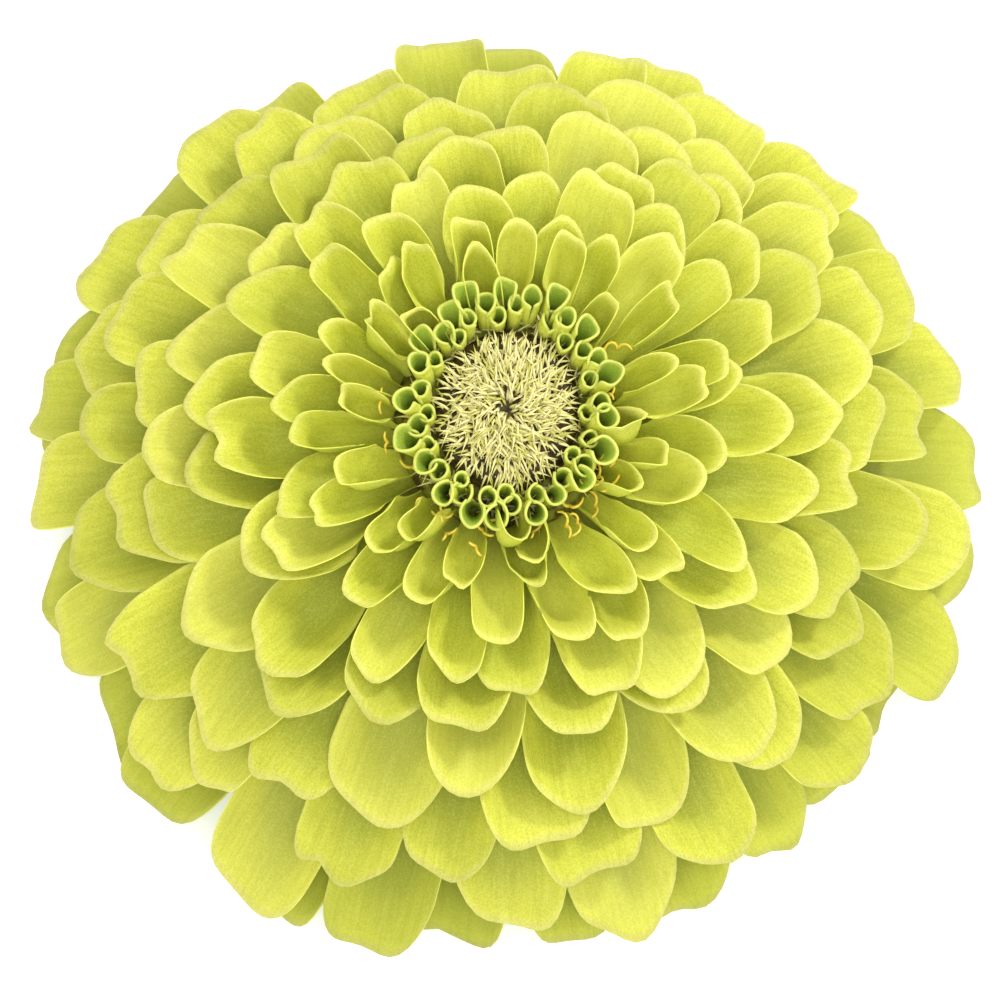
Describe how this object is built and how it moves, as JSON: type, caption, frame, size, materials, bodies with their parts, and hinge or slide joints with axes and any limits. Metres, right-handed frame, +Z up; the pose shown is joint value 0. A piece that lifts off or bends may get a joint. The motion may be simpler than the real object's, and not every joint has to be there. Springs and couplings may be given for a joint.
{
  "type": "zinnia flower",
  "caption": "Fully double zinnia head: layers of broad blunt petals over a rounded crown, rolled young florets round a bristly eye, bracts and a short cut stem below.",
  "frame": {"origin": "on the surface that the bloom rests on, under the middle of its head", "axes": "+Z up through the eye of the flower, which faces up; +Y is away from the viewer of the picture"},
  "size_m": [0.1096, 0.1093, 0.0409],
  "materials": {
    "petal": "matt, faintly velvety, thin and slightly see-through, yellow-green with pale edges",
    "young_floret": "matt, fresher green than the petals, darker inside the tube",
    "chaff": "dry cream bristles, darker between them",
    "bract": "matt green scales with a thin dark edge",
    "stem": "matt green, ribbed and hairy, pale pith at the cut"
  },
  "bodies": {
    "root": {"stem": "stem", "involucre": "bract", "ray_petals": "petal", "quilled_florets": "young_floret", "disc_chaff": "chaff"}
  },
  "joints": []
}
